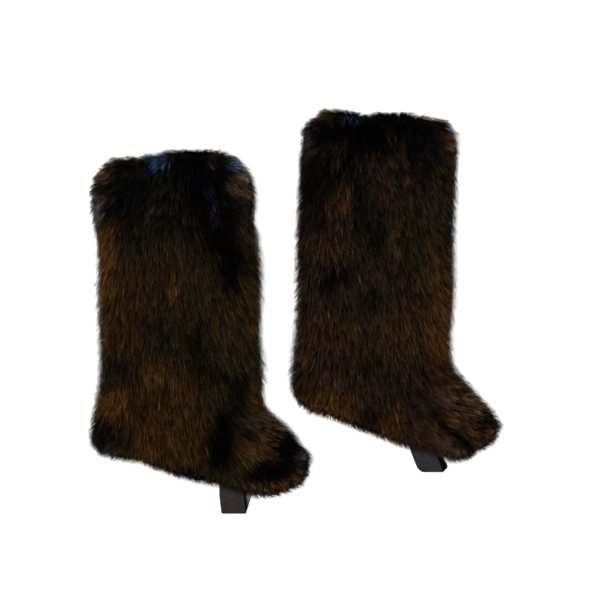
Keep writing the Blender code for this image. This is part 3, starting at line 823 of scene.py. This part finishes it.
# How the hair's bend, rise, droop, lean and cling grow from its root up: powers of its height.
BENDS_BACK = 0.1
BEND_POWER = 3.0
RISE_POWER = 2.2
DROOP_POWER = 2.0
LEAN_POWER = 1.3
CLING_POWER = 0.8
WAVES = 5.0
WHOLE_TURN = 6.28
# Each hair's share of its cell on the flat map, and the most wisps or locks in a square metre.
CELL_USED = 0.8
CELL_MARGIN = 0.1
MOST_WISPS = 800000.0
# The three growths of fur, and each size of their pile in that order.
GROWTHS = ("guard_hair", "underfur", "under_fur")
PILE_SIZES = {
    "Hair width": (0.33 * MM, 0.5 * MM, 0.5 * MM),
    "Length": (1.05, 0.75, 0.95),
    "Loft": (1.0, 0.62, 1.0),
    "Wisp spacing": (1.3 * MM, 2.6 * MM, 2.6 * MM),
    "Lock spacing": (10 * MM, 7 * MM, 9 * MM),
    "Hair spread": (0.22, 0.5, 0.25),
    "Wisp spread": (0.32, 0.5, 0.4),
    "Lock spread": (0.2, 0.3, 0.35),
    "Wisp pull": (0.75, 0.45, 0.6),
    "Lock pull": (0.22, 0.25, 0.25),
    "Dye stray": (13 * MM, 12 * MM, 13 * MM),
    "Waviness": (0.5 * MM, 0.7 * MM, 0.5 * MM),
    "Lowest": (0.4 * MM, 0.4 * MM, 0.3 * MM),
    "Map cells": (197, 225, 201),
}


def pile_tree():
    """Grows hairs on a sheet: roots at random, locks that lean together, each hair bent over."""
    tree = bpy.data.node_groups.new("pile", "GeometryNodeTree")
    for label, kind in (
        ("Backing", "Geometry"),
        ("Hair", "Object"),
        ("Hairs per square metre", "Float"),
        *((label, "Float") for label in PILE_SIZES),
        ("Seed", "Int"),
        ("Fur", "Material"),
    ):
        tree.interface.new_socket(label, in_out="INPUT", socket_type=f"NodeSocket{kind}")
    tree.interface.new_socket("Pile", in_out="OUTPUT", socket_type="NodeSocketGeometry")
    given = wired(tree, "NodeGroupInput").outputs

    def kept(geometry, label, value, kind="FLOAT", domain="POINT"):
        inputs = {"Geometry": geometry, "Name": label, "Value": value}
        made = wired(tree, "GeometryNodeStoreNamedAttribute", inputs, data_type=kind, domain=domain)
        return made.outputs["Geometry"]

    def known(label, kind="FLOAT"):
        made = wired(tree, "GeometryNodeInputNamedAttribute", {"Name": label}, data_type=kind)
        return made.outputs["Attribute"]

    def known_way(label):
        return known(label, "FLOAT_VECTOR")

    def worked(operation, *terms):
        inputs = dict(enumerate(terms))
        return wired(tree, "ShaderNodeMath", inputs, operation=operation).outputs[0]

    def times(*terms):
        return reduce(partial(worked, "MULTIPLY"), terms)

    def plus(*terms):
        return reduce(partial(worked, "ADD"), terms)

    minus, power, over = (partial(worked, name) for name in ("SUBTRACT", "POWER", "DIVIDE"))

    def vector_of(operation, *terms, **named):
        inputs = {**dict(enumerate(terms)), **named}
        return wired(tree, "ShaderNodeVectorMath", inputs, operation=operation).outputs["Vector"]

    def scaled(vector, amount):
        return vector_of("SCALE", vector, Scale=amount)

    def between(share, low, high):
        inputs = {"Value": share, "To Min": low, "To Max": high}
        return wired(tree, "ShaderNodeMapRange", inputs).outputs["Result"]

    def turned(vector, axis, angle):
        inputs = {"Vector": vector, "Axis": axis, "Angle": angle}
        made = wired(tree, "ShaderNodeVectorRotate", inputs, rotation_type="AXIS_ANGLE")
        return made.outputs["Vector"]

    def parts(vector):
        return wired(tree, "ShaderNodeSeparateXYZ", {0: vector}).outputs

    def scattered(way, **inputs):
        inputs = {label.replace("_", " "): value for label, value in inputs.items()}
        inputs.update({"Mesh": given["Backing"], "Seed": given["Seed"]})
        kind = "GeometryNodeDistributePointsOnFaces"
        return wired(tree, kind, inputs, distribute_method=way).outputs["Points"]

    place = wired(tree, "GeometryNodeInputPosition").outputs[0]
    seed = {"Seed": given["Seed"]}
    luck = wired(tree, "FunctionNodeRandomValue", seed, data_type="FLOAT_VECTOR").outputs["Value"]

    def gathered(points, label, spacing):
        """Each hair learns the root and the luck of the lock that it belongs to."""
        middles = scattered("POISSON", Distance_Min=spacing, Density_Max=MOST_WISPS)
        inputs = {"Geometry": middles, "Sample Position": place}
        nearest = wired(tree, "GeometryNodeSampleNearest", inputs).outputs["Index"]
        for what, value in (("root", place), ("luck", luck)):
            inputs = {"Geometry": middles, "Value": value, "Index": nearest}
            read = wired(tree, "GeometryNodeSampleIndex", inputs, data_type="FLOAT_VECTOR")
            points = kept(points, f"{label}_{what}", read.outputs["Value"], "FLOAT_VECTOR")
        return points

    density = times(given["Hairs per square metre"], known("thick"))
    points = kept(scattered("RANDOM", Density=density), "root", place, "FLOAT_VECTOR")
    points = kept(points, "luck", luck, "FLOAT_VECTOR")
    points = gathered(points, "lock", given["Lock spacing"])
    points = gathered(points, "wisp", given["Wisp spacing"])
    # Dye and painted light lie on the points of the pile, so a hair takes the tint of the place it
    # reaches to.
    stray = vector_of("SUBTRACT", known_way("wisp_luck"), (0.5, 0.5, 0.5))
    strayed_by = times(given["Dye stray"], known("stray"))
    reach = plus(times(parts(stray)[2], strayed_by), times(known("pile"), TINT_REACH))
    along = scaled(known_way("comb"), reach)
    askew = scaled(stray, times(strayed_by, TINT_ASKEW))
    inputs = {"Mesh": given["Backing"], "Value": known_way("tint")}
    inputs["Sample Position"] = vector_of("ADD", place, vector_of("ADD", along, askew))
    strayed = wired(tree, "GeometryNodeSampleNearestSurface", inputs, data_type="FLOAT_VECTOR")
    points = kept(points, "tint", strayed.outputs["Value"], "FLOAT_VECTOR")
    points = kept(points, "number", wired(tree, "GeometryNodeInputIndex").outputs[0])
    blade = wired(tree, "GeometryNodeObjectInfo", {"Object": given["Hair"]}).outputs["Geometry"]
    planted = wired(tree, "GeometryNodeInstanceOnPoints", {"Points": points, "Instance": blade})
    grown = wired(tree, "GeometryNodeRealizeInstances", {0: planted.outputs[0]}).outputs[0]

    root, stand, comb = known_way("root"), known_way("stand"), known_way("comb")
    up, across = known("up_hair"), known("across_hair")
    own, lock, wisp = (parts(known_way(label)) for label in ("luck", "lock_luck", "wisp_luck"))

    def swung(luck, spread):
        return times(minus(luck[1], 0.5), given[spread])

    # Near an edge the pile is cut to one length, and lies less in wisps.
    even = known("even")
    lengths = between(own[0], *HAIR_LENGTHS), between(lock[0], *LOCK_LENGTHS)
    varied = times(*lengths, between(wisp[0], *WISP_LENGTHS))
    level_off = times(minus(EVEN_LENGTH, varied), even)
    length = times(known("pile"), plus(varied, level_off), given["Length"])
    loose = minus(1.0, times(even, EVEN_HOLD))
    in_locks = plus(swung(lock, "Lock spread"), swung(wisp, "Wisp spread"))
    swing = plus(swung(own, "Hair spread"), times(in_locks, loose))
    way = turned(vector_of("NORMALIZE", comb), stand, swing)
    beside = vector_of("CROSS_PRODUCT", stand, way)
    flat = turned(beside, way, between(own[2], -BLADE_TURN, BLADE_TURN))
    # Up its length a hair runs out along the leg, rises in its loft and then bends over.
    run = times(length, minus(up, times(BENDS_BACK, power(up, BEND_POWER))))
    rise = minus(1.0, power(minus(1.0, up), RISE_POWER))
    stack = worked("FRACT", times(plus(wisp[0], times(own[0], STACK_OWN)), STACK_LAYERS))
    height = times(known("loft"), between(stack, *STACKED), rise, given["Loft"])
    drop = times(known("droop"), length, power(up, DROOP_POWER))
    lean = times(given["Lock pull"], power(up, LEAN_POWER))
    cling = times(given["Wisp pull"], loose, power(up, CLING_POWER))
    wave = worked("SINE", plus(times(up, WAVES), times(own[2], WHOLE_TURN)))
    wave = times(wave, up, given["Waviness"])
    breadth = times(across, known("coarse"), given["Hair width"])
    to_lock = vector_of("SUBTRACT", known_way("lock_root"), root)
    to_wisp = vector_of("SUBTRACT", known_way("wisp_root"), root)
    spot = root
    for heading, amount in (
        (way, run),
        (stand, height),
        (to_lock, lean),
        (to_wisp, cling),
        (beside, wave),
        (flat, breadth),
    ):
        spot = vector_of("ADD", spot, scaled(heading, amount))
    apart = parts(spot)
    level = worked("MAXIMUM", minus(apart[2], drop), given["Lowest"])
    spot = wired(tree, "ShaderNodeCombineXYZ", {0: apart[0], 1: apart[1], 2: level}).outputs[0]
    inputs = {"Geometry": grown, "Position": spot}
    combed = wired(tree, "GeometryNodeSetPosition", inputs).outputs[0]

    # Each hair has a cell of its own on the flat map, in rows of cells.
    cells, number = given["Map cells"], known("number")
    u = plus(worked("MODULO", number, cells), 0.5, times(across, CELL_USED))
    v = plus(worked("FLOOR", over(number, cells)), CELL_MARGIN, times(up, CELL_USED))
    spread = wired(tree, "ShaderNodeCombineXYZ", {0: over(u, cells), 1: over(v, cells)}).outputs[0]
    mapped = kept(combed, "OFBake", spread, "FLOAT2", "CORNER")
    inputs = {"Geometry": mapped, "Material": given["Fur"]}
    coloured = wired(tree, "GeometryNodeSetMaterial", inputs)
    wired(tree, "NodeGroupOutput", {0: coloured.outputs[0]})
    return tree


# How bright the dullest and the brightest wisps are, where the fur is plain and where it is marled.
DULL_WISPS = (0.54, 0.2)
BRIGHT_WISPS = (2.1, 3.1)
# Most wisps are dark, and a few catch the dye well.
RARITY = 2.4
HAIR_SHADES = (0.5, 1.5)
LOCK_SHADES = (0.93, 1.07)
CLOUD_SHADES = (0.86, 1.14)
CLOUD_SCALE = 38.0
COOL_HAIR = (0.76, 1.06, 1.04, 1)
WARM_HAIR = (1.26, 0.95, 0.92, 1)
GLOSS_TINT = (0.96, 0.88, 0.78, 1)
ROOT_TO = 0.15
TIP_FROM = 0.9


def fur_finish(name, shades, roughness, gloss):
    """Dyed fibre: dark at the root and light at the point, no two hairs of quite one shade."""
    made, shader = finish(
        name, Roughness=roughness, Specular_IOR_Level=gloss, Specular_Tint=GLOSS_TINT
    )
    tree = made.node_tree

    def read(label, field="Fac"):
        return wired(tree, "ShaderNodeAttribute", attribute_name=label).outputs[field]

    def parts(label):
        return wired(tree, "ShaderNodeSeparateXYZ", {0: read(label, "Vector")}).outputs

    def ranged(value, low, high):
        inputs = {"Value": value, "To Min": low, "To Max": high}
        return wired(tree, "ShaderNodeMapRange", inputs).outputs["Result"]

    def worked(one, other, operation="MULTIPLY"):
        inputs = {0: one, 1: other}
        return wired(tree, "ShaderNodeMath", inputs, operation=operation).outputs[0]

    stops = ((place, [shade] * 3) for place, shade in zip((ROOT_TO, TIP_FROM), shades))
    up_hair = ramped(tree, read("up_hair"), *stops)
    own, lock, wisp = parts("luck"), parts("lock_luck"), parts("wisp_luck")
    place = wired(tree, "ShaderNodeTexCoord").outputs["Object"]
    inputs = {"Vector": place, "Scale": CLOUD_SCALE, "Detail": 3.0}
    cloud = wired(tree, "ShaderNodeTexNoise", inputs)
    marl = read("marl")
    rare = worked(wisp[1], RARITY, "POWER")
    shade = ranged(rare, ranged(marl, *DULL_WISPS), ranged(marl, *BRIGHT_WISPS))
    shade = worked(shade, up_hair)
    shade = worked(shade, worked(ranged(own[1], *HAIR_SHADES), ranged(lock[2], *LOCK_SHADES)))
    shade = worked(shade, ranged(cloud.outputs["Fac"], *CLOUD_SHADES))
    hue = worked(worked(own[2], wisp[2], "ADD"), 0.5)
    inputs = {"Factor": hue, 6: COOL_HAIR, 7: WARM_HAIR}
    warm = wired(tree, "ShaderNodeMix", inputs, data_type="RGBA").outputs[2]
    inputs = {0: read("tint", "Vector"), 1: warm}
    colour = wired(tree, "ShaderNodeVectorMath", inputs, operation="MULTIPLY").outputs[0]
    inputs = {0: colour, "Scale": shade}
    colour = wired(tree, "ShaderNodeVectorMath", inputs, operation="SCALE").outputs[0]
    tree.links.new(colour, shader.inputs["Base Color"])
    return made


# The fur itself, in three growths. On the upper panels a short dense underfur hides the backing,
# and long guard hairs with dyed points lie over it. On the under panels one coarser growth is
# pressed flat where the pair rests, and stands out past the side seams.
HAIRS = {"guard_hair": 38500, "underfur": 50000, "under_fur": 40000}
GROWTH_SEED = {"guard_hair": 10, "underfur": 8, "under_fur": 9}
LEG_SEED = {"left": 11, "right": 23}
# A blade's rows, each a height and a width as shares, and its shades at the root and the tip.
GUARD_HAIR_ROWS = ((0.0, 0.75), (0.36, 1.0), (0.72, 0.8))
UNDERFUR_ROWS = ((0.0, 1.0), (0.5, 1.0))
GUARD_SHADES = (0.2, 1.35)
UNDERFUR_SHADES = (0.12, 0.8)


def grow(leg, growth, ground, blade, fur):
    """One growth of fur on one panel, as a plain mesh that hangs on no modifier."""
    faces = np.array([face.area for face in ground.data.polygons])
    thick = np.empty(len(ground.data.vertices))
    ground.data.attributes["thick"].data.foreach_get("value", thick)
    faces *= [thick[list(face.vertices)].mean() for face in ground.data.polygons]
    values = {"Hair": blade, "Seed": LEG_SEED[leg] + GROWTH_SEED[growth], "Fur": fur}
    values["Hairs per square metre"] = HAIRS[growth] / faces.sum()
    column = GROWTHS.index(growth)
    values.update({label: sizes[column] for label, sizes in PILE_SIZES.items()})
    growing = ground.modifiers.new("pile", "NODES")
    growing.node_group = PILE
    for socket in PILE.interface.items_tree:
        if socket.in_out == "INPUT" and socket.name in values:
            growing[socket.identifier] = values[socket.name]
    graph = bpy.context.evaluated_depsgraph_get()
    mesh = bpy.data.meshes.new_from_object(ground.evaluated_get(graph))
    ground.modifiers.remove(growing)
    mesh.name = f"{leg}_{growth}"
    return placed(mesh.name, mesh)


PILE = pile_tree()
guard_blade = hair("guard_blade", GUARD_HAIR_ROWS)
short_blade = hair("short_blade", UNDERFUR_ROWS)
guard_finish = fur_finish("guard_hair_fibre", GUARD_SHADES, roughness=0.5, gloss=0.03)
short_finish = fur_finish("underfur_fibre", UNDERFUR_SHADES, roughness=0.7, gloss=0.02)
furs = {}
for leg in LEGS:
    for side, growths in (("upper", ("guard_hair", "underfur")), ("under", ("under_fur",))):
        ground = growing_ground(leg, side)
        for growth in growths:
            blade = guard_blade if growth == "guard_hair" else short_blade
            fibre = short_finish if growth == "underfur" else guard_finish
            fur = grow(leg, growth, ground, blade, fibre)
            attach(fur, "root")
            furs.setdefault((leg, side), []).append(fur)
        bpy.data.objects.remove(ground)
bpy.data.objects.remove(guard_blade)
bpy.data.objects.remove(short_blade)

# Each panel's cloth hangs on the root, and its solid is hidden. The cloth is the backing, whose
# outline is the leg's own outline less 9 mm of fur all round.
for (leg, side), sheet in cloth.items():
    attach(sheet, "root")
    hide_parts(f"{leg}_{side}_panel")

# The stirrup is a ribbed knitted elastic, 28 mm wide, that passes under the arch of the foot. Both
# ends are sewn inside the hem, and laid flat the loop folds over on itself near the surface.
STIRRUP_WIDTH = 28.0
STIRRUP_THICK = 1.2
STIRRUP_RIBS = 15
RIB_HEIGHT = 0.10
RIB_POINTS = 4
SECTIONS = 84
STIRRUP_AT = {"left": (58.5, 2.4), "right": (54.0, 3.4)}
FOLD_CORNER = {"left": 1.0, "right": 6.5}
CORNER_CUT = 0.98
# Each point of its path: how far out from the hem, how high, and its drift towards the toe.
STIRRUP_PATH = {
    "left": (
        (-20.0, 14.75, 0.0), (-1.5, 14.75, 0.0), (0.8, 14.75, 0.0), (4.0, 14.0, 0.4),
        (10.4, 10.9, 0.9), (16.2, 7.2, 1.5), (18.8, 5.7, 1.7), (21.6, 3.7, 2.2),
        (19.2, 1.9, 3.0), (15.2, 3.6, 4.4), (9.4, 6.9, 6.2), (4.6, 10.7, 7.6),
        (0.8, 13.25, 8.4), (-1.5, 13.25, 8.4), (-20.0, 13.25, 8.4),
    ),
    "right": (
        (-20.0, 14.75, -0.6), (-12.0, 14.75, 0.0), (-1.5, 14.75, 3.5), (0.8, 14.75, 4.4),
        (3.2, 14.2, 5.4), (7.0, 11.9, 7.0), (10.8, 8.9, 8.6), (13.0, 7.6, 9.4),
        (15.0, 5.6, 10.0), (13.2, 3.7, 12.4), (10.2, 5.0, 15.0), (6.4, 7.9, 14.6),
        (3.6, 10.9, 12.8), (0.8, 13.25, 11.0), (-1.5, 13.25, 10.6), (-20.0, 13.25, 10.0),
    ),
}
# What marks the return run, behind the fold.
RETURN_MARK = 0.1


def smooth_line(knots, values, places):
    """A smooth curve through the values at the knots, read at the places."""
    slopes = np.gradient(values, knots, axis=0)
    start = np.clip(np.searchsorted(knots, places, side="right") - 1, 0, len(knots) - 2)
    span = (knots[start + 1] - knots[start])[:, None]
    t = (places - knots[start])[:, None] / span
    stay = (1 + 2 * t) * (1 - t) ** 2 * values[start] + t**2 * (3 - 2 * t) * values[start + 1]
    lean = t * (1 - t) ** 2 * slopes[start] - t**2 * (1 - t) * slopes[start + 1]
    return stay + span * lean


def ribbon(leg):
    """The elastic as a closed band with lengthwise ribs, and a map of it laid out flat."""
    path = np.array([(drift, -out, height) for out, height, drift in STIRRUP_PATH[leg]])
    steps = np.linalg.norm(np.diff(path[:, 1:], axis=0), axis=1)
    knots = np.concatenate([[0.0], np.cumsum(steps)])
    line = smooth_line(knots, path, np.linspace(0.0, knots[-1], SECTIONS))
    line += (*(np.array(STIRRUP_AT[leg]) + LEG_ORIGIN[leg]), 0.0)
    run = unit(np.gradient(line[:, 1:], axis=0))
    out = np.column_stack([np.zeros(len(line)), run[:, 1], -run[:, 0]])
    count = STIRRUP_RIBS * RIB_POINTS
    across = np.linspace(-0.5, 0.5, count + 1) * STIRRUP_WIDTH
    swell = RIB_HEIGHT * np.abs(np.sin(np.pi * STIRRUP_RIBS * np.linspace(0, 1, count + 1)))
    half = STIRRUP_THICK / 2 - RIB_HEIGHT
    ring = [(w, half + s) for w, s in zip(across, swell)]
    ring += [(w, -half - s) for w, s in zip(across[::-1], swell[::-1])]
    # The corner of the fold on the heel's side is rounded off.
    corner = FOLD_CORNER[leg]
    past = path[:, 1].min() + LEG_ORIGIN[leg][1] + STIRRUP_AT[leg][1] + corner - line[:, 1]
    past = np.clip(past / corner, 0, 1)
    rounded = corner * (1 - np.sqrt(1 - CORNER_CUT * past**2))
    form = bmesh.new()
    flat_map = form.loops.layers.uv.new("laid_out")
    past_front = form.verts.layers.float.new("past_front")
    fold = int(np.argmin(line[:, 1]))
    sections = []
    for i, (p, o) in enumerate(zip(line, out)):
        squeeze = 1 - rounded[i] / STIRRUP_WIDTH
        middle = p + (rounded[i] / 2, 0, 0)
        places = [(middle + (w * squeeze, 0, 0) + o * t) * MM for w, t in ring]
        sections.append([form.verts.new(place) for place in places])
        front_edge = np.interp(p[1], line[fold::-1, 1], line[fold::-1, 0]) + STIRRUP_WIDTH / 2
        for vert in sections[-1]:
            shown = max(vert.co.x / MM - front_edge, 0)
            vert[past_front] = shown + RETURN_MARK if i > fold else 0
    length = np.concatenate([[0], np.cumsum(np.linalg.norm(np.diff(line, axis=0), axis=1))])
    for i in range(SECTIONS - 1):
        for k in range(len(ring)):
            after = (k + 1) % len(ring)
            corners = ((i, k), (i, after), (i + 1, after), (i + 1, k))
            face = form.faces.new([sections[a][b] for a, b in corners])
            for loop, (a, b) in zip(face.loops, corners):
                loop[flat_map].uv = (ring[b][0] / STIRRUP_WIDTH + 0.5, length[a] / STIRRUP_WIDTH)
    form.faces.new(sections[0])
    form.faces.new(sections[-1][::-1])
    bmesh.ops.recalc_face_normals(form, faces=form.faces)
    return kept_as_object(form, f"{leg}_stirrup_elastic"), length[-1]


# The front run shows its face. Past the fold the return run is painted dark for the shadow in the
# fold: near black on the right leg, and on the left one a dark shadow line beside a pale bluish
# painted highlight on its lit edge. Each shade stands at its share of 10 mm past the front run's
# edge.
ELASTIC_COLOUR = (0.051, 0.039, 0.042)
# The face's ribs are painted lighter and darker for their light and shade.
FACE_SHADES = ((0.3, 0.62), (1, 1.5))
FACE_TINT = {"left": (1.03, 1.0, 0.97), "right": (0.90, 1.06, 1.26)}
RETURN_PAINTED_SHADOW_AND_HIGHLIGHT = {
    "left": ((0.0, 0.02), (0.20, 0.02), (0.30, 3.0), (0.45, 7.0)),
    "right": ((0.0, 0.02), (1.0, 0.02)),
}
RETURN_SPAN = 10
RETURN_PAINTED_LIGHT_TINT = (0.72, 1.0, 1.2)
RIBS_SCALE = 4.77
RIBS_SHARE = 0.35
PICKS_SCALE = 7.0
PICKS_DEPTH = 0.2
FUZZ_SCALE = 6.0


def ribbed_elastic(leg):
    """Ribbed knitted elastic, with its ribs' light and shade painted in, and the painted shadow and
    highlight of the run behind the fold.
    """
    made, shader = finish(
        f"{leg}_ribbed_elastic", Roughness=0.72, Specular_IOR_Level=0.08, Sheen_Weight=0.02
    )
    tree = made.node_tree
    laid_out = wired(tree, "ShaderNodeUVMap", uv_map="laid_out").outputs["UV"]
    ribs = waves(tree, laid_out, RIBS_SCALE, "X")
    inputs = {"Vector": laid_out, "Scale": FUZZ_SCALE, "Detail": 5.0}
    fuzz = wired(tree, "ShaderNodeTexNoise", inputs).outputs["Fac"]
    # The ribs' painted light and shade, over a random fuzz of tone.
    inputs = {0: ribs, 1: RIBS_SHARE, 2: fuzz}
    rib_light_and_fuzz = wired(tree, "ShaderNodeMath", inputs, operation="MULTIPLY_ADD").outputs[0]
    colour = np.array(ELASTIC_COLOUR) * FACE_TINT[leg]
    face = ramped(tree, rib_light_and_fuzz, *((place, shade * colour) for place, shade in FACE_SHADES))
    past = wired(tree, "ShaderNodeAttribute", attribute_name="past_front").outputs["Fac"]
    inputs = {0: past, 1: 1 / RETURN_SPAN}
    share = wired(tree, "ShaderNodeMath", inputs, operation="MULTIPLY").outputs[0]
    stops = [(place, shade * np.array(RETURN_PAINTED_LIGHT_TINT)) for place, shade in RETURN_PAINTED_SHADOW_AND_HIGHLIGHT[leg]]
    inputs = {0: face, 1: ramped(tree, share, *stops)}
    behind = wired(tree, "ShaderNodeVectorMath", inputs, operation="MULTIPLY").outputs[0]
    inputs = {0: past, 1: RETURN_MARK / 2}
    returned = wired(tree, "ShaderNodeMath", inputs, operation="GREATER_THAN").outputs[0]
    inputs = {"Factor": returned, 6: face, 7: behind}
    colour = wired(tree, "ShaderNodeMix", inputs, data_type="RGBA").outputs[2]
    tree.links.new(colour, shader.inputs["Base Color"])
    bumped(tree, shader, waves(tree, laid_out, PICKS_SCALE, "Y"), PICKS_DEPTH)
    return made


for leg in LEGS:
    band, band_length = ribbon(leg)
    band.data.materials.append(ribbed_elastic(leg))
    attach(band, "root")
    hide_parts(f"{leg}_stirrup")
